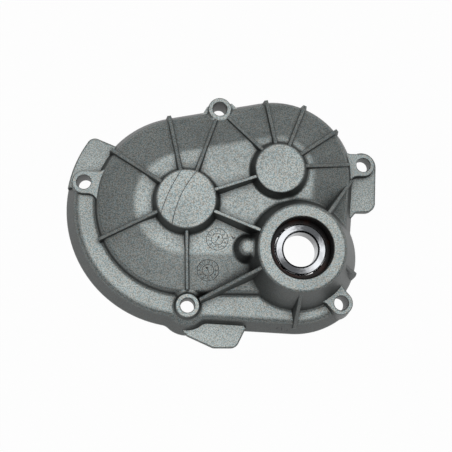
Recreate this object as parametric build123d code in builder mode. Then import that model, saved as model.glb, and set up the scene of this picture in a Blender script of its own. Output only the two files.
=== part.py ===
"""A die-cast scooter gearbox cover with the two ball bearings that are pressed into it.

Millimetres, +Z out of the gearbox. The gasket face lies at z = 0 and the origin is the middle
of the outline. The big forms turn about three shafts, and their places and those of the bolts
are measured from the output shaft's axis.
"""
from build123d import *
import math
import os

os.makedirs("parts", exist_ok=True)


# Shafts and bolts
output_axis = (-22.75, 7.7)


def from_output(across, up):
    return (output_axis[0] + across, output_axis[1] + up)


def ray(place, angle):
    """A point one unit from a place, at an angle in degrees."""
    return (place[0] + math.cos(math.radians(angle)), place[1] + math.sin(math.radians(angle)))


intermediate_axis = from_output(54.7, 19.4)
input_axis = from_output(66.1, -28.4)
top_bolt = from_output(20.1, 58.4)
left_bolt = from_output(-60.3, 13.0)
right_bolt = from_output(108.3, 27.0)
corner_bolt = from_output(91.6, -58.0)
bottom_bolt = from_output(1.4, -60.0)

# Heights of the casting's levels
ear_height = 5.5
rim_height = 12.0
shoulder_height = 16.0
roof_height = 24.0
intermediate_boss_height = 31.0
output_boss_height = 34.0
hub_height = 38.0

# Dome: its radii at the gasket face, and how far the drafted wall and the roof run in
output_lobe_radius = 58.0
intermediate_lobe_radius = 49.2
wall_run = 5.7
roof_run = 22.5
right_wall_lean = 5.0
right_wall_length = 40.0
shoulder_rounding = 4.0
roof_rounding = 9.0

# Rim: the lower band outside the dome, with a rolled outer edge
output_rim_radius = 71.6
input_rim_radius = 47.0
scallop_radius = 16.5
rim_run = 6.1
rim_roll = 5.0
scallop_blend = 7.0
rim_crease_blend = 2.5
rim_clip = (
    from_output(-80, 18),
    from_output(0, 18),
    input_axis,
    from_output(112, -82),
    from_output(-80, -82),
)

# Hub round the input shaft, the two blind bosses and the knob beside the hub
hub_foot_radius = 38.0
hub_top_radius = 25.4
output_boss_foot = 19.6
output_boss_top = 17.3
intermediate_boss_foot = 17.4
intermediate_boss_top = 14.5
boss_edge = 1.2
hub_edge = 2.2
boss_foot_blend = 1.8
hub_foot_blend = 3.0
knob_foot_blend = 2.0
knob = from_output(35.5, -27.2)
knob_height = 33.0
knob_foot = 9.0
knob_top = 5.0
knob_rounding = 4.0

# Bolt bosses and pads: the seat under each bolt's head, and what joins it to the dome
seat_radius = 6.9
seat_edge = 0.6
bolt_hole_radius = 4.2
bolt_hole_chamfer = 0.4
boss_flare = 0.11
bolt_boss_blend = 2.0
top_boss_height = 18.0
bottom_boss_height = 19.0
left_pad_height = 15.0
right_pad_height = 10.0
corner_pad_height = 17.0
left_pad_inner = from_output(-45, 12.5)
right_pad_inner = from_output(95, 27)
corner_pad_inner = from_output(83.5, -48.5)
pad_blend = 4.5
corner_pad_blend = 2.5
web_height = 15.0
web_outline = (
    from_output(7.5, 52),
    from_output(12.5, 60.5),
    from_output(27.5, 62.8),
    from_output(34.5, 56),
)

# Ears: the thin tabs of the flange
ear_edge = 1.0
upper_ear_outline = (
    from_output(-80, 11),
    from_output(-80, 53.0),
    from_output(-30, 32.3),
    from_output(-30, 11),
)
upper_ear_rounding = 5.0
right_ear_radius = 8.8
right_ear_outline = (
    from_output(88, -5.0),
    from_output(101.2, -5.0),
    from_output(104.2, -1.5),
    from_output(115.8, -1.5),
    from_output(117.1, 27),
    from_output(108.3, 27),
    from_output(88, 34),
)
right_ear_rounding = 6.0
lower_ear_outline = (
    from_output(-10, -66),
    from_output(1.5, -77.0),
    from_output(17.0, -84.0),
    from_output(30.5, -84.0),
    from_output(36.5, -72),
    from_output(28, -60),
)
lower_ear_rounding = 5.0

# Ribs: the shaft each one starts at, what it runs toward, then how far from the shaft's axis
# its crest starts and ends, each with the crest's height there
rib_crest = 1.0
rib_draft = 8.0
rib_rounding = 0.6
rib_foot = 4.0
ribs = (
    (output_axis, ray(output_axis, 101), (16, 31.5), (54.8, 17.5)),
    (output_axis, top_bolt, (16, 31.5), (54.6, 19.2)),
    (output_axis, ray(output_axis, 144), (16, 31.5), (55.3, 17.5)),
    (output_axis, ray(output_axis, -157), (16, 31.5), (55.3, 17.5)),
    (output_axis, bottom_bolt, (16, 31), (51, 18.5)),
    (output_axis, intermediate_axis, (16, 33), (45, 30)),
    (output_axis, input_axis, (16, 33), (48, 36.5)),
    (intermediate_axis, top_bolt, (13, 29.8), (45, 19.2)),
    (intermediate_axis, ray(intermediate_axis, 98.2), (13, 29.3), (45.6, 17.7)),
    (intermediate_axis, ray(intermediate_axis, 67.9), (13, 29.3), (45.6, 17.7)),
    (intermediate_axis, ray(intermediate_axis, 36.5), (13, 29.3), (45.6, 17.7)),
    (intermediate_axis, right_bolt, (13, 29.3), (44.5, 16.7)),
    (input_axis, right_bolt, (24.5, 36.5), (57, 12)),
    (input_axis, bottom_bolt, (24.5, 36.5), (64.5, 18.5)),
    (input_axis, ray(input_axis, -91.5), (24.2, 37.6), (44, 9)),
    (input_axis, ray(input_axis, -19.5), (24.5, 36.5), (37.5, 14)),
)

# Inside: the gears' space and what stands in it
inner_output_radius = 51.0
inner_intermediate_radius = 41.6
inner_shoulder_height = 12.8
inner_roof_height = 20.0
inner_wall_run = 1.2
inner_roof_run = 20.1
inner_rim_height = 8.0
inner_rim_run = 1.0
inner_rim_clip = (
    from_output(-80, 4),
    from_output(0, 4),
    input_axis,
    from_output(104, -82),
    from_output(-80, -82),
)
flange_width = 7.5
inner_hub_foot = 31.0
inner_hub_top = 27.5
inner_draft = 0.5
bolt_column_radius = 8.4

# Seats: the input bearing's, the seal's outside it, the output bearing's and the plain bore
input_bearing_bottom = 16.5
input_seat_boss = 28.5
seal_seat_radius = 17.5
seal_seat_chamfer = 1.0
output_bearing_bottom = 11.5
output_seat_boss = 21.8
output_relief_radius = 11.5
output_relief_draft = 1.0
output_relief_height = 29.0
intermediate_bore_radius = 8.5
intermediate_bore_length = 14.0
intermediate_seat_boss = 13.5

# Ball bearings: bore, outside, width, ball and the rings' walls, then what both have alike
input_bearing_bore = 10.0
input_bearing_outside = 23.5
input_bearing_width = 14.0
input_ball = 3.969
input_inner_wall = 4.4
input_outer_wall = 3.9
output_bearing_bore = 7.5
output_bearing_outside = 17.5
output_bearing_width = 11.0
output_ball = 2.977
output_inner_wall = 3.2
output_outer_wall = 2.6
ball_count = 8
ball_clearance = 0.02
groove_share = 1.04
ring_chamfer = 1.0
land_edge = 0.3
cage_gap = 0.7
pocket_clearance = 0.12
cage_web = 0.9
cage_lip_share = 0.45

# How near a height or an axis an edge is to count as there, and what counts as well clear of it
level_nearness = 0.1
axis_nearness = 0.01
well_clear = 1.0
hub_hides = 4.0
clipped_below = 5.0


def tangent_polygon(first_radius, second_radius):
    """What two lobes' discs leave out: the tangent above them, the wall that leans in from the
    second to the hub, and the straight stretch below."""
    first, second = output_axis, intermediate_axis
    lean = math.atan2(second[1] - first[1], second[0] - first[0])
    lean += math.acos((first_radius - second_radius) / math.dist(first, second))
    wall = math.radians(right_wall_lean)
    wall_top = (
        second[0] + second_radius * math.cos(wall),
        second[1] - second_radius * math.sin(wall),
    )
    return [
        (first[0] + first_radius * math.cos(lean), first[1] + first_radius * math.sin(lean)),
        (second[0] + second_radius * math.cos(lean), second[1] + second_radius * math.sin(lean)),
        wall_top,
        (
            wall_top[0] - right_wall_length * math.sin(wall),
            wall_top[1] - right_wall_length * math.cos(wall),
        ),
        (input_axis[0], first[1] - first_radius),
        (first[0], first[1] - first_radius),
    ]


def rim_polygon(first_radius, second_radius):
    """The straight bottom of the rim, between its round about the output shaft and the hub's."""
    first, second = output_axis, input_axis
    lean = math.atan2(second[1] - first[1], second[0] - first[0])
    lean -= math.acos((first_radius - second_radius) / math.dist(first, second))
    return [
        first,
        (first[0] + first_radius * math.cos(lean), first[1] + first_radius * math.sin(lean)),
        (second[0] + second_radius * math.cos(lean), second[1] + second_radius * math.sin(lean)),
        second,
    ]


def disc(place, low, high, low_radius, high_radius, mode=Mode.ADD):
    """A round with a drafted side, standing between two heights."""
    with Locations((place[0], place[1], low)):
        Cone(
            low_radius,
            high_radius,
            high - low,
            align=(Align.CENTER, Align.CENTER, Align.MIN),
            mode=mode,
        )


def drafted_prism(low, high, low_points, high_points):
    """A straight-sided form between two outlines of as many corners."""
    with BuildPart() as prism:
        for height, points in ((low, low_points), (high, high_points)):
            with BuildSketch(Plane.XY.offset(height)):
                Polygon(*points, align=None)
        loft(ruled=True)
    return prism.part


def dome(levels):
    """Two round lobes and what joins them, level by level: height, output and other radius."""
    with BuildPart() as lobes:
        for lower, upper in zip(levels, levels[1:]):
            disc(output_axis, lower[0], upper[0], lower[1], upper[1])
            disc(intermediate_axis, lower[0], upper[0], lower[2], upper[2])
            outlines = (tangent_polygon(lower[1], lower[2]), tangent_polygon(upper[1], upper[2]))
            add(drafted_prism(lower[0], upper[0], *outlines))
    return lobes.part


def level_edges(part, height):
    """The part's level edges at a height."""
    return (
        part.edges()
        .filter_by(lambda edge: edge.bounding_box().size.Z < level_nearness)
        .filter_by_position(Axis.Z, height - level_nearness, height + level_nearness)
    )


def outer_dome():
    """The outside of the dome, rounded at its shoulder and round the flat of its roof."""
    high_output = output_lobe_radius - wall_run
    high_other = intermediate_lobe_radius - wall_run
    levels = [
        (0, output_lobe_radius, intermediate_lobe_radius),
        (shoulder_height, high_output, high_other),
        (roof_height, high_output - roof_run, high_other - roof_run),
    ]
    hidden_by_hub = input_axis[0] - input_axis[1] - hub_hides
    with BuildPart() as lobes:
        add(dome(levels))
        for height, rounding in ((roof_height, roof_rounding), (shoulder_height, shoulder_rounding)):
            seen = level_edges(lobes, height).filter_by(
                lambda edge: edge.center().X - edge.center().Y < hidden_by_hub
            )
            fillet(seen, rounding)
    return lobes.part


def rim():
    """The band round the lower left, one long roll from the left pad to the corner bolt."""
    with BuildPart() as band:
        disc(output_axis, 0, rim_height, output_rim_radius, output_rim_radius - rim_run)
        disc(input_axis, 0, rim_height, input_rim_radius, input_rim_radius - rim_run)
        outlines = (
            rim_polygon(output_rim_radius, input_rim_radius),
            rim_polygon(output_rim_radius - rim_run, input_rim_radius - rim_run),
        )
        add(drafted_prism(0, rim_height, *outlines))
        disc(bottom_bolt, 0, rim_height, scallop_radius, scallop_radius - rim_run)
        with BuildSketch():
            Polygon(*rim_clip, align=None)
        extrude(amount=rim_height, mode=Mode.INTERSECT)
        creases = band.edges().filter_by(
            lambda edge: edge.bounding_box().size.Z > rim_height - level_nearness
        )
        fillet(
            creases.filter_by(
                lambda edge: math.dist((edge.center().X, edge.center().Y), bottom_bolt) < scallop_radius
            ),
            scallop_blend,
        )
        lowest_clip = bottom_bolt[1] - clipped_below
        fillet(
            level_edges(band, rim_height).filter_by(
                lambda edge: edge.geom_type != GeomType.LINE or edge.center().Y < lowest_clip
            ),
            rim_roll,
        )
    return band.part


def ears():
    """The flange's three thin tabs, with a broken edge round their tops."""
    with BuildPart() as tabs:
        with BuildSketch():
            with Locations(output_axis):
                Circle(output_rim_radius)
            Polygon(*upper_ear_outline, align=None, mode=Mode.INTERSECT)
        extrude(amount=ear_height)
        upper_left = tabs.edges().filter_by(Axis.Z).sort_by(Axis.Y)[-1]
        fillet(upper_left, upper_ear_rounding)
        with BuildSketch():
            with Locations(right_bolt):
                Circle(right_ear_radius)
            Polygon(*right_ear_outline, align=None)
        extrude(amount=ear_height)
        lower_right = tabs.edges().filter_by(Axis.Z).sort_by(Axis.X)[-2:].sort_by(Axis.Y)[0]
        fillet(lower_right, right_ear_rounding)
        with BuildSketch():
            Polygon(*lower_ear_outline, align=None)
        extrude(amount=ear_height)
        bottom = tabs.edges().filter_by(Axis.Z).sort_by(Axis.Y)[:2]
        fillet(bottom, lower_ear_rounding)
        fillet(level_edges(tabs, ear_height), ear_edge)
    return tabs.part


def pad(place, inner, height, lobe, wall_radius, blend):
    """A bolt's seat on a drafted column that runs back into a lobe's wall and widens as it meets it."""
    flare = height * boss_flare
    radius = seat_radius + flare
    lobe_radius = wall_radius + flare - seat_edge
    run = math.degrees(math.atan2(inner[1] - place[1], inner[0] - place[0]))
    middle = ((place[0] + inner[0]) / 2, (place[1] + inner[1]) / 2, 0)
    with BuildPart() as column:
        with BuildSketch() as outline:
            with Locations(place):
                Circle(radius)
            with Locations(Location(middle, (0, 0, run))):
                Rectangle(math.dist(place, inner), 2 * radius)
            with Locations(lobe):
                Circle(lobe_radius)
            corners = outline.vertices().filter_by(
                lambda corner: abs(math.dist((corner.X, corner.Y), lobe) - lobe_radius) < axis_nearness
                and math.dist((corner.X, corner.Y), place) < math.dist(place, inner) + radius
            )
            fillet(corners, blend)
        extrude(amount=height, taper=math.degrees(math.atan(boss_flare)))
        fillet(level_edges(column, height), seat_edge)
    return column.part


def rib(place, toward, start, end):
    """A drafted web along a line. Each end is how far it is from the place, and its crest's height."""
    run = math.atan2(toward[1] - place[1], toward[0] - place[0])
    widen = math.tan(math.radians(rib_draft))
    with BuildPart() as web:
        for distance, height in (start, end):
            section = Plane(
                origin=(place[0] + distance * math.cos(run), place[1] + distance * math.sin(run), 0),
                x_dir=(-math.sin(run), math.cos(run), 0),
                z_dir=(math.cos(run), math.sin(run), 0),
            )
            foot = rib_crest + (height - rib_foot) * widen
            with BuildSketch(section):
                Polygon(
                    (-foot, rib_foot),
                    (foot, rib_foot),
                    (rib_crest, height),
                    (-rib_crest, height),
                    align=None,
                )
        loft(ruled=True)
        crest = web.faces().sort_by(Axis.Z)[-1]
        fillet(crest.edges(), rib_rounding)
    return web.part


def boss(place, foot, top, foot_radius, top_radius, rounding):
    """A drafted round boss with a rounded top edge."""
    with BuildPart() as column:
        disc(place, foot, top, foot_radius, top_radius)
        fillet(level_edges(column, top), rounding)
    return column.part


def gear_space():
    """What is hollow inside: the dome's, the rim's and the hub's room, less what stands in it."""
    inner_levels = [
        (0, inner_output_radius, inner_intermediate_radius),
        (
            inner_shoulder_height,
            inner_output_radius - inner_wall_run,
            inner_intermediate_radius - inner_wall_run,
        ),
        (
            inner_roof_height,
            inner_output_radius - inner_wall_run - inner_roof_run,
            inner_intermediate_radius - inner_wall_run - inner_roof_run,
        ),
    ]
    first_radius = output_rim_radius - flange_width
    second_radius = input_rim_radius - flange_width
    with BuildPart() as rim_room:
        disc(output_axis, 0, inner_rim_height, first_radius, first_radius - inner_rim_run)
        disc(input_axis, 0, inner_rim_height, second_radius, second_radius - inner_rim_run)
        outlines = (
            rim_polygon(first_radius, second_radius),
            rim_polygon(first_radius - inner_rim_run, second_radius - inner_rim_run),
        )
        add(drafted_prism(0, inner_rim_height, *outlines))
        with BuildSketch():
            Polygon(*inner_rim_clip, align=None)
        extrude(amount=inner_rim_height, mode=Mode.INTERSECT)
    with BuildPart() as room:
        add(dome(inner_levels))
        add(rim_room.part)
        disc(input_axis, 0, input_bearing_bottom, inner_hub_foot, inner_hub_top)
        column_end = bolt_column_radius + inner_draft
        for bolt in (top_bolt, left_bolt, right_bolt, corner_bolt, bottom_bolt):
            disc(bolt, 0, roof_height, bolt_column_radius, column_end, Mode.SUBTRACT)
        for place, bottom, radius in (
            (input_axis, input_bearing_bottom, input_seat_boss),
            (output_axis, output_bearing_bottom, output_seat_boss),
            (intermediate_axis, output_bearing_bottom, intermediate_seat_boss),
        ):
            disc(place, bottom, roof_height, radius, radius + inner_draft, Mode.SUBTRACT)
    return room.part


def bore(place, low, high, radius):
    """A straight round hole between two heights."""
    with Locations((place[0], place[1], low)):
        Cylinder(
            radius,
            high - low,
            align=(Align.CENTER, Align.CENTER, Align.MIN),
            mode=Mode.SUBTRACT,
        )


def is_circle_of(radius):
    return lambda edge: edge.geom_type == GeomType.CIRCLE and abs(edge.radius - radius) < axis_nearness


def rising_creases(part, height):
    """The level edges at a height where something stands up from there."""
    rising = part.faces().filter_by(lambda face: face.bounding_box().max.Z > height + well_clear)
    return level_edges(part, height) & rising.edges()


def foot_of(part, place, height):
    """The edges where the drafted round form at a place meets what it stands on, below a height."""
    sides = part.faces().filter_by(GeomType.CONE)
    sides = sides.filter_by(
        lambda face: math.dist(tuple(face.axis_of_rotation.position)[:2], place) < axis_nearness
    )
    return sides.edges().filter_by(
        lambda edge: edge.geom_type != GeomType.LINE and level_nearness < edge.center().Z < height
    )


with BuildPart() as cover_casting:
    add(outer_dome())
    add(boss(input_axis, 0, hub_height, hub_foot_radius, hub_top_radius, hub_edge))
    fillet(foot_of(cover_casting, input_axis, roof_height + well_clear), hub_foot_blend)
    for place, height, foot_radius, top_radius in (
        (output_axis, output_boss_height, output_boss_foot, output_boss_top),
        (intermediate_axis, intermediate_boss_height, intermediate_boss_foot, intermediate_boss_top),
    ):
        add(boss(place, roof_height, height, foot_radius, top_radius, boss_edge))
    fillet(rising_creases(cover_casting, roof_height), boss_foot_blend)
    add(boss(knob, inner_roof_height, knob_height, knob_foot, knob_top, knob_rounding))
    fillet(foot_of(cover_casting, knob, knob_height - knob_rounding), knob_foot_blend)
    add(rim())
    fillet(rising_creases(cover_casting, rim_height), rim_crease_blend)
    for bolt, height in ((bottom_bolt, bottom_boss_height), (top_bolt, top_boss_height)):
        add(boss(bolt, 0, height, seat_radius + height * boss_flare, seat_radius, seat_edge))
        fillet(foot_of(cover_casting, bolt, height - well_clear), bolt_boss_blend)
    add(ears())
    wall_lean = wall_run / shoulder_height
    left_wall = output_lobe_radius - wall_lean * left_pad_height
    right_wall = intermediate_lobe_radius - wall_lean * right_pad_height
    hub_lean = (hub_foot_radius - hub_top_radius) / hub_height
    hub_wall = hub_foot_radius - hub_lean * corner_pad_height
    add(pad(left_bolt, left_pad_inner, left_pad_height, output_axis, left_wall, pad_blend))
    add(pad(right_bolt, right_pad_inner, right_pad_height, intermediate_axis, right_wall, pad_blend))
    add(pad(corner_bolt, corner_pad_inner, corner_pad_height, input_axis, hub_wall, corner_pad_blend))
    with BuildSketch():
        Polygon(*web_outline, align=None)
    extrude(amount=web_height)
    for place, toward, start, end in ribs:
        add(rib(place, toward, start, end))
    add(gear_space(), mode=Mode.SUBTRACT)
    for bolt, height in (
        (top_bolt, top_boss_height),
        (left_bolt, left_pad_height),
        (right_bolt, right_pad_height),
        (corner_bolt, corner_pad_height),
        (bottom_bolt, bottom_boss_height),
    ):
        bore(bolt, 0, height, bolt_hole_radius)
        mouth_radius = bolt_hole_radius + bolt_hole_chamfer
        disc(bolt, height - bolt_hole_chamfer, height, bolt_hole_radius, mouth_radius, Mode.SUBTRACT)
    input_bearing_top = input_bearing_bottom + input_bearing_width
    output_bearing_top = output_bearing_bottom + output_bearing_width
    intermediate_bore_top = output_bearing_bottom + intermediate_bore_length
    bore(input_axis, input_bearing_bottom, input_bearing_top, input_bearing_outside)
    bore(input_axis, input_bearing_top, hub_height, seal_seat_radius)
    bore(output_axis, output_bearing_bottom, output_bearing_top, output_bearing_outside)
    relief_end = output_relief_radius - output_relief_draft
    disc(
        output_axis,
        output_bearing_top,
        output_relief_height,
        output_relief_radius,
        relief_end,
        Mode.SUBTRACT,
    )
    bore(intermediate_axis, output_bearing_bottom, intermediate_bore_top, intermediate_bore_radius)
    chamfer(
        level_edges(cover_casting, hub_height).filter_by(is_circle_of(seal_seat_radius)),
        seal_seat_chamfer,
    )
cover_casting.part.label = "cover_casting"
export_step(cover_casting.part, "parts/cover_casting.step")


def ring(place, middle, width, radii, groove_centre, groove_radius):
    """A bearing's ring: its body between two radii, its edges broken and its groove turned in."""
    with BuildPart() as turned:
        with Locations((place[0], place[1], middle)):
            Cylinder(radii[1], width)
            Cylinder(radii[0], width, mode=Mode.SUBTRACT)
            Torus(groove_centre, groove_radius, mode=Mode.SUBTRACT)
        chamfer(turned.edges().filter_by(is_circle_of(radii[2])), ring_chamfer)
        chamfer(turned.edges().filter_by(is_circle_of(radii[3])), land_edge)
    return turned.part


def bearing(name, place, bottom, width, bore_radius, outside_radius, ball, inner_wall, outer_wall):
    """A ball bearing with its axis upright: two rings, the balls and the cage that parts them."""
    inner_land = bore_radius + inner_wall
    outer_land = outside_radius - outer_wall
    middle = bottom + width / 2
    pitch = (bore_radius + outside_radius) / 2
    groove = ball * groove_share
    deepest = ball + ball_clearance
    outer_radii = (outer_land, outside_radius, outside_radius, outer_land)
    outer_ring = ring(place, middle, width, outer_radii, pitch + deepest - groove, groove)
    outer_ring.label = name + "_outer_ring"
    export_step(outer_ring, f"parts/{name}_outer_ring.step")
    inner_radii = (bore_radius, inner_land, bore_radius, inner_land)
    inner_ring = ring(place, middle, width, inner_radii, pitch - deepest + groove, groove)
    inner_ring.label = name + "_inner_ring"
    export_step(inner_ring, f"parts/{name}_inner_ring.step")
    pocket = ball + pocket_clearance
    with BuildPart() as cage:
        with Locations((place[0], place[1], middle - ball * cage_lip_share)):
            height = ball * cage_lip_share + pocket + cage_web
            upright = (Align.CENTER, Align.CENTER, Align.MIN)
            Cylinder(outer_land - cage_gap, height, align=upright)
            Cylinder(inner_land + cage_gap, height, align=upright, mode=Mode.SUBTRACT)
        with Locations((place[0], place[1], middle)):
            with PolarLocations(pitch, ball_count):
                Sphere(pocket, mode=Mode.SUBTRACT)
    cage.part.label = name + "_cage"
    export_step(cage.part, f"parts/{name}_cage.step")
    for number in range(ball_count):
        around = math.radians(number * 360 / ball_count)
        centre = (place[0] + pitch * math.cos(around), place[1] + pitch * math.sin(around), middle)
        with BuildPart() as one_ball:
            with Locations(centre):
                Sphere(ball)
        one_ball.part.label = f"{name}_ball_{number + 1}"
        export_step(one_ball.part, f"parts/{name}_ball_{number + 1}.step")


bearing(
    "input_bearing",
    input_axis,
    input_bearing_bottom,
    input_bearing_width,
    input_bearing_bore,
    input_bearing_outside,
    input_ball,
    input_inner_wall,
    input_outer_wall,
)
bearing(
    "output_bearing",
    output_axis,
    output_bearing_bottom,
    output_bearing_width,
    output_bearing_bore,
    output_bearing_outside,
    output_ball,
    output_inner_wall,
    output_outer_wall,
)
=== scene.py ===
import math

import bmesh
import bpy
from mathutils import Matrix, Vector


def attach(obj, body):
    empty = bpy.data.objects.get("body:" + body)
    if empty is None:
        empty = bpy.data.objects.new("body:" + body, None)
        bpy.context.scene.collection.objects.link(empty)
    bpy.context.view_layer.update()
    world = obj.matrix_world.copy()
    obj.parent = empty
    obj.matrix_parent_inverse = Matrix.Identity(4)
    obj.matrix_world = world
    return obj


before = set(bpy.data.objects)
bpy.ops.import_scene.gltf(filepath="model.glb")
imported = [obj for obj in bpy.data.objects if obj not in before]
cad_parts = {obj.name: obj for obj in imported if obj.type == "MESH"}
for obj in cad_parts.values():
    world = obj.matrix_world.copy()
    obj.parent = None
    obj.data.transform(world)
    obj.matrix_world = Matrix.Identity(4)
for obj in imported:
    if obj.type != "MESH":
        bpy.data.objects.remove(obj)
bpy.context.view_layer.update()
print("frame loaded:", len(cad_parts), "pieces")

# where the shafts stand on the cover, in metres
places = {
    "outputShaft": (-0.02275, 0.0077),
    "intermediateShaft": (0.03195, 0.0271),
    "inputShaft": (0.04335, -0.0207),
}


# a wire is one socket of a node tree, and sums on wires add Math nodes
class Wire:
    def __init__(self, tree, socket=None):
        self.tree = tree
        self.socket = socket

    def node(self, kind, links=None, output=0, **settings):
        made = self.tree.nodes.new(kind)
        for name, value in settings.items():
            setattr(made, name, value)
        for name, value in (links or {}).items():
            socket = made.inputs[name]
            if isinstance(value, Wire):
                self.tree.links.new(value.socket, socket)
            else:
                socket.default_value = value
        return Wire(self.tree, made.outputs[output] if made.outputs else None)

    def maths(self, operation, *values):
        return self.node("ShaderNodeMath", dict(enumerate(values)), operation=operation)

    def __add__(self, other):
        return self.maths("ADD", self, other)

    def __radd__(self, other):
        return self.maths("ADD", other, self)

    def __sub__(self, other):
        return self.maths("SUBTRACT", self, other)

    def __rsub__(self, other):
        return self.maths("SUBTRACT", other, self)

    def __mul__(self, other):
        return self.maths("MULTIPLY", self, other)

    def __rmul__(self, other):
        return self.maths("MULTIPLY", other, self)

    def __truediv__(self, other):
        return self.maths("DIVIDE", self, other)

    def __pow__(self, other):
        return self.maths("POWER", self, other)

    def __gt__(self, other):
        return self.maths("GREATER_THAN", self, other)

    def __lt__(self, other):
        return self.maths("LESS_THAN", self, other)

    def size(self):
        return self.maths("ABSOLUTE", self)

    # 0 below the first value, 1 above the second, or the other way round if the first is larger
    def between(self, low, high):
        return self.node(
            "ShaderNodeMapRange",
            {"Value": self, "From Min": low, "From Max": high},
            interpolation_type="SMOOTHSTEP",
        )


def startMaterial(name):
    material = bpy.data.materials.new(name)
    material.use_nodes = True
    material.node_tree.nodes.clear()
    return material, Wire(material.node_tree)


# one of the Texture Coordinate node's outputs
def coordinates(start, name):
    source = start.node("ShaderNodeTexCoord").socket.node
    return Wire(start.tree, source.outputs[name])


def axesOf(start, vector):
    parts = start.node("ShaderNodeSeparateXYZ", {"Vector": vector})
    return [Wire(start.tree, parts.socket.node.outputs[axis]) for axis in range(3)]


def noise(start, where, scale, detail=2.0, roughness=0.5):
    return start.node(
        "ShaderNodeTexNoise",
        {"Vector": where, "Scale": scale, "Detail": detail, "Roughness": roughness},
    )


# how far a point is from an upright axis
def reach(across, up, place):
    return ((across - place[0]) ** 2 + (up - place[1]) ** 2) ** 0.5


# 1 on open ground, less in a corner, or less near an outer edge if it looks inwards
def nearness(start, distance, inwards):
    return start.node(
        "ShaderNodeAmbientOcclusion",
        {"Distance": distance},
        output=1,
        samples=6,
        only_local=True,
        inside=inwards,
    )


# inputs 6 and 7 of the Mix node are its colours, and output 2 is the mixed one
def mixColours(start, mask, first, second):
    links = {0: mask, 6: first, 7: second}
    return start.node("ShaderNodeMix", links, output=2, data_type="RGBA")


def bump(start, height, distance, strength):
    links = {"Height": height, "Distance": distance, "Strength": strength}
    return start.node("ShaderNodeBump", links)


def finishMaterial(start, links):
    shader = start.node("ShaderNodeBsdfPrincipled", links)
    start.node("ShaderNodeOutputMaterial", {"Surface": shader})


castLook = {
    "warm": (0.40, 0.345, 0.28, 1),
    "cool": (0.235, 0.355, 0.395, 1),
    "darkGrain": (0.08, 0.092, 0.091, 1),
    "lightGrain": (0.575, 0.615, 0.605, 1),
    "machined": (0.62, 0.625, 0.63, 1),
    "tint": 0.42,
    "grainScale": 1600,
    "grainHeight": 0.00005,
    "speckScale": 1100,
    "speckStrength": 0.8,
    "cloudScale": 35,
    "cloudStrength": 0.22,
    # the painted shade on steep faces starts at the first upward slant and is full at the second
    "steepShade": 0.8,
    "steepShadeSlants": (0.97, 0.45),
    "steepShadeColour": (0.07, 0.072, 0.071, 1),
    # painted shade in the corners
    "cornerShade": 0.75,
    "cornerShadeReach": 0.008,
    "cornerShadeColour": (0.05, 0.051, 0.05, 1),
    # crests are lightened by wear and a painted highlight
    "wear": 0.5,
    "wornAndHighlightReach": 0.0010,
    "wornAndHighlightColour": (0.6, 0.61, 0.61, 1),
    "metallic": 0.85,
    "roughness": 0.50,
    # two long scratches over the larger blind boss, each through three points
    "scratches": [
        ((-0.02655, 0.0230), (-0.03335, 0.0100), (-0.03665, 0.0007)),
        ((-0.01735, 0.0232), (-0.02535, 0.0107), (-0.03055, -0.0062)),
    ],
    "scratchWidth": 0.00022,
    "scratchLevel": (0.0335, 0.0339),
    # short dents: middle, half length, half width and turn in degrees
    "dents": [
        ((0.0042, -0.0128), 0.0009, 0.00035, -60),
        ((0.0052, -0.0135), 0.0011, 0.00040, 25),
        ((0.0321, -0.0643), 0.0008, 0.00030, 20),
        ((0.0349, -0.0648), 0.0010, 0.00035, 115),
        ((0.0383, -0.0655), 0.0007, 0.00030, 60),
    ],
    "dentColour": (0.05, 0.05, 0.055, 1),
    "dentStrength": 0.85,
    "dentDepth": 2.5,
}

# the faces that a cutter or oil has changed, in metres
cutLook = {
    "gasketTop": 0.00005,
    # reach from the shaft, and the heights between which the seat lies
    "seats": [
        ("inputShaft", 0.0237, 0.0164, 0.0380),
        ("outputShaft", 0.0176, 0.0114, 0.0292),
        ("intermediateShaft", 0.0086, 0.0114, 0.0262),
    ],
    "ringPitch": 9000,
    "ringDepth": 0.12,
    "strength": 0.8,
    "roughness": 0.26,
    "millScale": 600,
    # oil and painted shade darken the metal round the seal's seat
    "oilShadeReach": (0.0184, 0.0179),
    "oilShadeHeights": (0.0290, 0.0295),
    "oilShadeStrength": 0.96,
    "oilShadeColour": (0.012, 0.009, 0.008, 1),
    "oilRoughness": 0.42,
}


# centre and radius of the arc through three points
def arcThrough(first, second, third):
    a, b, c = (Vector(point) for point in (first, second, third))
    sides = (b - c, c - a, a - b)
    squares = [point.length_squared for point in (a, b, c)]
    double = 2 * sum(point.x * side.y for point, side in zip((a, b, c), sides))
    x = sum(square * side.y for square, side in zip(squares, sides)) / double
    y = -sum(square * side.x for square, side in zip(squares, sides)) / double
    return (x, y), (Vector((x, y)) - a).length


# 1 inside a small turned ellipse, seen from above
def dent(across, up, middle, halfLength, halfWidth, turn):
    cosine, sine = math.cos(math.radians(turn)), math.sin(math.radians(turn))
    fromLeft, fromBelow = across - middle[0], up - middle[1]
    along = (fromLeft * cosine + fromBelow * sine) / halfLength
    off = (fromBelow * cosine - fromLeft * sine) / halfWidth
    return (along * along + off * off).between(1.2, 0.5)
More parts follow.
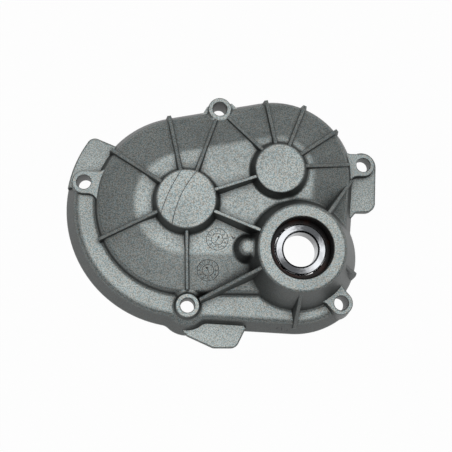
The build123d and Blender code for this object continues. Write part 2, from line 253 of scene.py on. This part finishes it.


# the blasted skin: grain, tint, specks and clouds, with painted shade where it is steep or hollow
# and wear with a painted highlight on crests
def castColour(start, where, facingUp, grain):
    cloud = noise(start, where, castLook["cloudScale"], 3.0)
    speck = noise(start, where, castLook["speckScale"], 1.0)
    tint = noise(start, where, castLook["grainScale"] * 0.8, 1.0)
    steep = facingUp.size().between(*castLook["steepShadeSlants"])
    corner = nearness(start, castLook["cornerShadeReach"], False)
    crest = nearness(start, castLook["wornAndHighlightReach"], True)
    grains = (castLook["darkGrain"], castLook["lightGrain"])
    colour = mixColours(start, grain.between(0.33, 0.67), *grains)
    tinted = mixColours(start, tint.between(0.35, 0.65), castLook["warm"], castLook["cool"])
    layers = [
        (castLook["tint"], tinted),
        (speck.between(0.70, 0.80) * castLook["speckStrength"], castLook["machined"]),
        (cloud.between(0.35, 0.7) * castLook["cloudStrength"], castLook["darkGrain"]),
        # steep walls are darkened with painted shade
        (steep * castLook["steepShade"], castLook["steepShadeColour"]),
        # corners are darkened with painted shade, and crests are lightened by wear and a painted
        # highlight
        (corner.between(0.92, 0.35) * castLook["cornerShade"], castLook["cornerShadeColour"]),
        (crest.between(0.75, 0.35) * castLook["wear"], castLook["wornAndHighlightColour"]),
    ]
    for mask, layer in layers:
        colour = mixColours(start, mask, colour, layer)
    return colour


# 1 on the scratches of the boss and on the short dents
def scratches(start, across, up, height, facingUp):
    onBoss = height.between(*castLook["scratchLevel"])
    width = castLook["scratchWidth"]
    marks = []
    for points in castLook["scratches"]:
        centre, radius = arcThrough(*points)
        away = (reach(across, up, centre) - radius).size()
        marks.append(away.between(width, width * 0.35) * onBoss)
    for middle, halfLength, halfWidth, turn in castLook["dents"]:
        marks.append(dent(across, up, middle, halfLength, halfWidth, turn) * (facingUp > 0.3))
    scratched = marks[0]
    for mark in marks[1:]:
        scratched = start.maths("MAXIMUM", scratched, mark)
    return scratched


# 1 on the gasket face and on the upright walls of the seats
def machinedFaces(start, across, up, height, facingDown):
    flat = (height < cutLook["gasketTop"]) * (facingDown > 0.9)
    sideways = facingDown.size() < 0.5
    cut = flat
    for shaft, out, low, high in cutLook["seats"]:
        near = reach(across, up, places[shaft]) < out
        seat = near * (height > low) * (height < high) * sideways
        cut = start.maths("MAXIMUM", cut, seat)
    return cut


def castAluminium():
    material, start = startMaterial("castAluminium")
    where = coordinates(start, "Object")
    across, up, height = axesOf(start, where)
    facingUp = axesOf(start, coordinates(start, "Normal"))[2]
    facingDown = facingUp * -1
    grain = noise(start, where, castLook["grainScale"], 2.0, 0.6)
    scratched = scratches(start, across, up, height, facingUp)
    cut = machinedFaces(start, across, up, height, facingDown)
    fromInput = reach(across, up, places["inputShaft"])
    # the cutter leaves fine rings, and the metal round the seal's seat is darkened by oil and
    # painted shade
    rings = start.maths("SINE", fromInput * cutLook["ringPitch"])
    milled = noise(start, where, cutLook["millScale"], 1.0)
    seatOilAndShade = fromInput.between(*cutLook["oilShadeReach"]) * height.between(*cutLook["oilShadeHeights"])
    colour = castColour(start, where, facingUp, grain)
    layers = [
        (scratched * castLook["dentStrength"], castLook["dentColour"]),
        (cut * cutLook["strength"], castLook["machined"]),
        (seatOilAndShade * cutLook["oilShadeStrength"], cutLook["oilShadeColour"]),
    ]
    for mask, layer in layers:
        colour = mixColours(start, mask, colour, layer)
    blasted = grain * 0.10 + castLook["roughness"] - 0.05
    dry = blasted * (1 - cut) + cut * (milled * 0.1 + cutLook["roughness"])
    roughness = dry * (1 - seatOilAndShade) + seatOilAndShade * cutLook["oilRoughness"]
    ringed = rings * cut * cutLook["ringDepth"]
    relief = grain * (1 - cut) + ringed - scratched * castLook["dentDepth"]
    links = {
        "Base Color": colour,
        "Roughness": roughness,
        "Normal": bump(start, relief, castLook["grainHeight"], 0.9),
        "Metallic": castLook["metallic"],
    }
    finishMaterial(start, links)
    return material


steelLook = {
    "highlight": (0.40, 0.41, 0.425, 1),
    "dark": (0.045, 0.047, 0.05, 1),
    # oil and painted shade on rings that lie deep
    "oilAndShade": (0.03, 0.026, 0.024, 1),
    # degrees from the X axis to where the painted highlight on a ring is brightest
    "highlightTurn": 150,
    "cutPitch": 9000,
    "smearScale": 160,
    "roughness": 0.13,
}
ballLook = {
    "colour": (0.78, 0.79, 0.80, 1),
    "oil": (0.5, 0.46, 0.42, 1),
    "oilScale": 300,
    "roughness": 0.06,
}


# a ground ring has a painted highlight to two sides and painted shade between them, and is darker
# with oil and painted shade if it lies deep
def groundSteel(name, axisPlace, oilAndShade):
    material, start = startMaterial(name)
    where = coordinates(start, "Object")
    across, up, height = axesOf(start, where)
    out = reach(across, up, axisPlace)
    angle = start.maths("ARCTAN2", up - axisPlace[1], across - axisPlace[0])
    pitch = steelLook["cutPitch"]
    cutPlace = start.node("ShaderNodeCombineXYZ", {"X": out * pitch, "Z": height * pitch})
    streakPlace = start.node("ShaderNodeCombineXYZ", {"X": angle * 3.0, "Y": out * 500})
    cuts = noise(start, cutPlace, 1.0)
    smear = noise(start, where, steelLook["smearScale"])
    streak = noise(start, streakPlace, 2.0)
    # the painted highlight follows the angle round the axis
    wave = start.maths("COSINE", (angle - math.radians(steelLook["highlightTurn"])) * 2)
    shine = (wave + (streak - 0.5) * 1.2).between(-0.9, 0.8)
    colour = mixColours(start, shine, steelLook["dark"], steelLook["highlight"])
    colour = mixColours(start, smear.between(0.45, 0.75) * 0.35, colour, steelLook["dark"])
    links = {
        "Base Color": mixColours(start, oilAndShade, colour, steelLook["oilAndShade"]),
        "Roughness": cuts * 0.12 + smear * 0.10 + steelLook["roughness"],
        "Normal": bump(start, cuts, 0.00001, 0.5),
        "Metallic": 1.0,
    }
    finishMaterial(start, links)
    return material


def polishedSteel():
    material, start = startMaterial("polishedSteel")
    where = coordinates(start, "Object")
    oil = noise(start, where, ballLook["oilScale"])
    fine = noise(start, where, 2500, 1.0)
    filmed = oil.between(0.4, 0.8) * 0.25
    links = {
        "Base Color": mixColours(start, filmed, ballLook["colour"], ballLook["oil"]),
        "Roughness": oil * 0.06 + ballLook["roughness"],
        "Normal": bump(start, fine, 0.000003, 0.4),
        "Metallic": 1.0,
    }
    finishMaterial(start, links)
    return material


cageLook = {
    "colour": (0.006, 0.005, 0.005, 1),
    "rust": (0.040, 0.010, 0.004, 1),
    "flowScale": 90,
    "fineScale": 1400,
    "roughness": 0.15,
    "shine": 0.12,
}


def cagePlastic():
    material, start = startMaterial("cagePlastic")
    where = coordinates(start, "Object")
    flow = noise(start, where, cageLook["flowScale"], 3.0)
    fine = noise(start, where, cageLook["fineScale"])
    rusty = flow.between(0.40, 0.70)
    links = {
        "Base Color": mixColours(start, rusty, cageLook["colour"], cageLook["rust"]),
        "Roughness": flow * 0.14 + cageLook["roughness"],
        "Normal": bump(start, fine + flow * 2, 0.00002, 0.5),
        "Specular IOR Level": cageLook["shine"],
    }
    finishMaterial(start, links)
    return material


def setMaterial(thing, material):
    thing.data.materials.clear()
    thing.data.materials.append(material)


castMetal = castAluminium()
inputSteel = groundSteel("groundSteelInput", places["inputShaft"], 0.0)
inputOiledShaded = groundSteel("oiledShadedSteelInput", places["inputShaft"], 0.9)
outputSteel = groundSteel("groundSteelOutput", places["outputShaft"], 0.3)
ballSteel = polishedSteel()
darkPlastic = cagePlastic()
for name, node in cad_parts.items():
    if name == "cover_casting":
        setMaterial(node, castMetal)
    elif name.endswith("_cage"):
        setMaterial(node, darkPlastic)
    elif "_ball_" in name:
        setMaterial(node, ballSteel)
    elif name == "input_bearing_outer_ring":
        setMaterial(node, inputOiledShaded)
    else:
        setMaterial(node, inputSteel if name.startswith("input") else outputSteel)
print("materials set")

# the two date dials set in the roof and the lower slope: places in metres, turns in degrees
dialLook = {
    # the raised marks are coloured near black as painted shade
    "colour": (0.035, 0.036, 0.037, 1),
    "worn": (0.16, 0.16, 0.16, 1),
    "wearScale": 900,
    "roughness": 0.45,
    "metallic": 0.8,
    "dials": {
        "upperDial": {"place": (-0.0045, -0.0143, 0.02395), "tilt": 0.0, "turn": 8, "arrow": 40},
        "lowerDial": {"place": (-0.0097, -0.0320, 0.02045), "tilt": 19.57, "turn": 0, "arrow": -25},
    },
    "sizes": {
        "Outer Radius": 0.0063,
        "Inner Radius": 0.0034,
        "Line": 0.00018,
        "Number Size": 0.0023,
        "Number Height": 0.00014,
        "Numbers": 12,
    },
    "ringSteps": 72,
    "lineSteps": 8,
    "letterSteps": 3,
    # the arrow's ends and its head, as shares of the inner radius
    "arrow": {"tail": -0.7, "tip": 0.35, "head": 0.5, "foot": 0.3, "top": 0.26},
}


# raised dial marks, coloured near black as painted shade
def dialMaterial():
    material, start = startMaterial("dialMarks")
    wear = noise(start, coordinates(start, "Object"), dialLook["wearScale"])
    worn = wear.between(0.45, 0.7)
    links = {
        "Base Color": mixColours(start, worn, dialLook["colour"], dialLook["worn"]),
        "Roughness": wear * 0.2 + dialLook["roughness"],
        "Normal": bump(start, wear, 0.00002, 0.6),
        "Metallic": dialLook["metallic"],
    }
    finishMaterial(start, links)
    return material


# joins shapes, the last one first, as the node's one socket takes many links
def joinShapes(start, *shapes):
    joined = start.node("GeometryNodeJoinGeometry")
    for shape in shapes:
        start.tree.links.new(shape.socket, joined.socket.node.inputs[0])
    return joined


def turnedShape(start, shape, out, angle):
    move = {"X": out * start.maths("SINE", angle), "Y": out * start.maths("COSINE", angle)}
    links = {
        "Geometry": shape,
        "Translation": start.node("ShaderNodeCombineXYZ", move),
        "Rotation": start.node("ShaderNodeCombineXYZ", {"Z": angle * -1}),
    }
    return start.node("GeometryNodeTransform", links)


def dialLine(start, path, profile, capped=False):
    links = {"Curve": path, "Profile Curve": profile, "Fill Caps": capped}
    return start.node("GeometryNodeCurveToMesh", links)


# one raised number for a count, its middle at the origin
def dialNumber(start, count, size):
    text = start.node("FunctionNodeValueToString", {"Value": count}, data_type="INT")
    letters = start.node(
        "GeometryNodeStringToCurves",
        {"String": text, "Size": size["Number Size"]},
        align_x="CENTER",
        align_y="MIDDLE",
        font=bpy.data.fonts.load("<builtin>"),
    )
    letters = start.node("GeometryNodeRealizeInstances", {"Geometry": letters})
    links = {"Geometry": letters, "Resolution": dialLook["letterSteps"]}
    letters = start.node("GeometryNodeSetSplineResolution", links)
    plates = start.node("GeometryNodeFillCurve", {"Curve": letters})
    links = {"Mesh": plates, "Offset Scale": size["Number Height"], "Individual": False}
    return start.node("GeometryNodeExtrudeMesh", links)


# the numbers, one for each round of the zone
def dialNumbers(start, size):
    first = start.tree.nodes.new("GeometryNodeRepeatInput")
    last = start.tree.nodes.new("GeometryNodeRepeatOutput")
    first.pair_with_output(last)
    start.tree.links.new(size["Numbers"].socket, first.inputs["Iterations"])
    count = Wire(start.tree, first.outputs["Iteration"]) + 1
    between = (size["Outer Radius"] + size["Inner Radius"]) * 0.5
    angle = count * math.tau / size["Numbers"]
    number = turnedShape(start, dialNumber(start, count, size), between, angle)
    joined = joinShapes(start, number, Wire(start.tree, first.outputs["Geometry"]))
    start.tree.links.new(joined.socket, last.inputs["Geometry"])
    return Wire(start.tree, last.outputs["Geometry"])


# a shaft with a three-sided head
def dialArrow(start, size, profile):
    long = size["Inner Radius"]
    shares = dialLook["arrow"]
    tail = start.node("ShaderNodeCombineXYZ", {"Y": long * shares["tail"]})
    tip = start.node("ShaderNodeCombineXYZ", {"Y": long * shares["tip"]})
    line = start.node("GeometryNodeCurvePrimitiveLine", {"Start": tail, "End": tip})
    shaft = dialLine(start, line, profile, capped=True)
    links = {
        "Vertices": 3,
        "Radius Bottom": long * shares["foot"],
        "Radius Top": long * shares["top"],
        "Depth": size["Number Height"],
    }
    head = turnedShape(start, start.node("GeometryNodeMeshCone", links), long * shares["head"], 0.0)
    return turnedShape(start, joinShapes(start, shaft, head), 0.0, size["Arrow"])


# rings, numbers round them and an arrow, as one tree of nodes with the sizes as its inputs
def dialTree():
    tree = bpy.data.node_groups.new("dateDial", "GeometryNodeTree")
    tree.interface.new_socket("Geometry", in_out="OUTPUT", socket_type="NodeSocketGeometry")
    tree.interface.new_socket("Geometry", in_out="INPUT", socket_type="NodeSocketGeometry")
    for name in dialLook["sizes"]:
        kind = "NodeSocketInt" if name == "Numbers" else "NodeSocketFloat"
        tree.interface.new_socket(name, in_out="INPUT", socket_type=kind)
    tree.interface.new_socket("Arrow", in_out="INPUT", socket_type="NodeSocketFloat")
    tree.interface.new_socket("Material", in_out="INPUT", socket_type="NodeSocketMaterial")
    start = Wire(tree)
    given = start.node("NodeGroupInput").socket.node.outputs
    size = {socket.name: Wire(tree, socket) for socket in given if socket.name}
    circleKind = "GeometryNodeCurvePrimitiveCircle"
    profile = start.node(circleKind, {"Resolution": dialLook["lineSteps"], "Radius": size["Line"]})
    shapes = [dialArrow(start, size, profile), dialNumbers(start, size)]
    for name in ("Outer Radius", "Inner Radius"):
        circle = start.node(circleKind, {"Resolution": dialLook["ringSteps"], "Radius": size[name]})
        shapes.append(dialLine(start, circle, profile))
    made = start.node("GeometryNodeRealizeInstances", {"Geometry": joinShapes(start, *shapes)})
    made = start.node("GeometryNodeSetMaterial", {"Geometry": made, "Material": size["Material"]})
    start.node("NodeGroupOutput", {"Geometry": made})
    return tree


def dials():
    tree = dialTree()
    material = dialMaterial()
    for name, dial in dialLook["dials"].items():
        carrier = bpy.data.objects.new(name + "Carrier", bpy.data.meshes.new(name + "Carrier"))
        bpy.context.collection.objects.link(carrier)
        modifier = carrier.modifiers.new("dial", "NODES")
        modifier.node_group = tree
        values = {**dialLook["sizes"], "Arrow": math.radians(dial["arrow"]), "Material": material}
        for item in tree.interface.items_tree:
            if item.in_out == "INPUT" and item.name in values:
                modifier[item.identifier] = values[item.name]
        carrier.update_tag()
        ready = carrier.evaluated_get(bpy.context.evaluated_depsgraph_get())
        mesh = bpy.data.meshes.new_from_object(ready)
        bpy.data.objects.remove(carrier)
        mesh.name = name
        tilt = Matrix.Rotation(math.radians(dial["tilt"]), 4, "X")
        turn = Matrix.Rotation(math.radians(dial["turn"]), 4, "Z")
        mesh.transform(Matrix.Translation(dial["place"]) @ tilt @ turn)
        thing = bpy.data.objects.new(name, mesh)
        bpy.context.collection.objects.link(thing)
        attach(thing, "cover")


dials()
print("dials set")

studio = {
    "world": 0.05,
    "sweep": {"height": -0.0001, "flat": 2.2, "bend": 1.2, "turn": 75, "steps": 12, "sides": 64},
    "floorWhite": (0.7, 0.7, 0.7, 1),
    "floorShown": 0.97,
    # the lamp's place and size in metres
    "key": {"place": (0.0, 0.04, 1.1), "across": 1.1, "deep": 1.5, "watts": 9.4},
    "cameraPlace": (-0.03383, -0.09767, 0.55065),
    "cameraAcross": (0.99787, 0.0, 0.0652),
    "cameraUp": (-0.01111, 0.98538, 0.170),
    "lens": 73.27,
    "sensor": 36,
    "clipStart": 0.01,
}


# 1 for the rays that show the background: the camera's, and those that metal mirrors
def backgroundRays(start):
    rays = start.node("ShaderNodeLightPath").socket.node.outputs
    shown = Wire(start.tree, rays["Is Camera Ray"])
    for name in ("Is Glossy Ray", "Is Transmission Ray"):
        shown = start.maths("MAXIMUM", shown, Wire(start.tree, rays[name]))
    return shown


# out and up along the sweep: flat round the cover, then bent up towards the edge
def sweepProfile():
    sweep = studio["sweep"]
    profile = [(sweep["flat"], sweep["height"])]
    for step in range(1, sweep["steps"] + 1):
        turn = math.radians(sweep["turn"] * step / sweep["steps"])
        out = sweep["flat"] + sweep["bend"] * math.sin(turn)
        profile.append((out, sweep["height"] + sweep["bend"] * (1 - math.cos(turn))))
    return profile


def sweepMesh():
    sides = studio["sweep"]["sides"]
    ground = bmesh.new()
    middle = ground.verts.new((0, 0, studio["sweep"]["height"]))
    rings = []
    for out, height in sweepProfile():
        ways = [math.tau * side / sides for side in range(sides)]
        points = [(out * math.cos(way), out * math.sin(way), height) for way in ways]
        rings.append([ground.verts.new(point) for point in points])
    for side in range(sides):
        following = (side + 1) % sides
        ground.faces.new((middle, rings[0][side], rings[0][following]))
        for inner, outer in zip(rings, rings[1:]):
            ground.faces.new((inner[side], outer[side], outer[following], inner[following]))
    for face in ground.faces:
        face.smooth = True
    mesh = bpy.data.meshes.new("floor")
    ground.to_mesh(mesh)
    ground.free()
    return mesh


def floor():
    thing = bpy.data.objects.new("floor", sweepMesh())
    bpy.context.collection.objects.link(thing)
    material, start = startMaterial("paleFloor")
    cast = start.node("ShaderNodeBsdfDiffuse", {"Color": studio["floorWhite"]})
    shown = start.node("ShaderNodeEmission", {"Color": (1, 1, 1, 1), "Strength": 1.0})
    mask = backgroundRays(start) * studio["floorShown"]
    surface = start.node("ShaderNodeMixShader", {0: mask, 1: cast, 2: shown})
    start.node("ShaderNodeOutputMaterial", {"Surface": surface})
    setMaterial(thing, material)


def light(name, place, target, across, deep, watts):
    lamp = bpy.data.lights.new(name, "AREA")
    lamp.shape = "ELLIPSE"
    lamp.size = across
    lamp.size_y = deep
    lamp.energy = watts
    thing = bpy.data.objects.new(name, lamp)
    bpy.context.collection.objects.link(thing)
    thing.location = place
    aim = Vector(target) - Vector(place)
    thing.rotation_euler = aim.to_track_quat("-Z", "Y").to_euler()


def camera():
    lens = bpy.data.cameras.new("camera")
    lens.lens = studio["lens"]
    lens.sensor_width = studio["sensor"]
    lens.clip_start = studio["clipStart"]
    thing = bpy.data.objects.new("camera", lens)
    bpy.context.collection.objects.link(thing)
    across = Vector(studio["cameraAcross"]).normalized()
    up = Vector(studio["cameraUp"]).normalized()
    back = across.cross(up).normalized()
    turn = Matrix((across, up, back)).transposed().to_4x4()
    thing.matrix_world = Matrix.Translation(studio["cameraPlace"]) @ turn
    bpy.context.scene.camera = thing


floor()
key = studio["key"]
light("softboxOverhead", key["place"], (0, 0, 0), key["across"], key["deep"], key["watts"])
camera()
world = bpy.data.worlds.new("studioWorld")
world.use_nodes = True
world.node_tree.nodes.clear()
air = Wire(world.node_tree)
sky = air.node("ShaderNodeBackground", {"Color": (1, 1, 1, 1), "Strength": studio["world"]})
air.node("ShaderNodeOutputWorld", {"Surface": sky})
bpy.context.scene.world = world
bpy.context.scene.view_settings.view_transform = "Standard"
print("studio set")
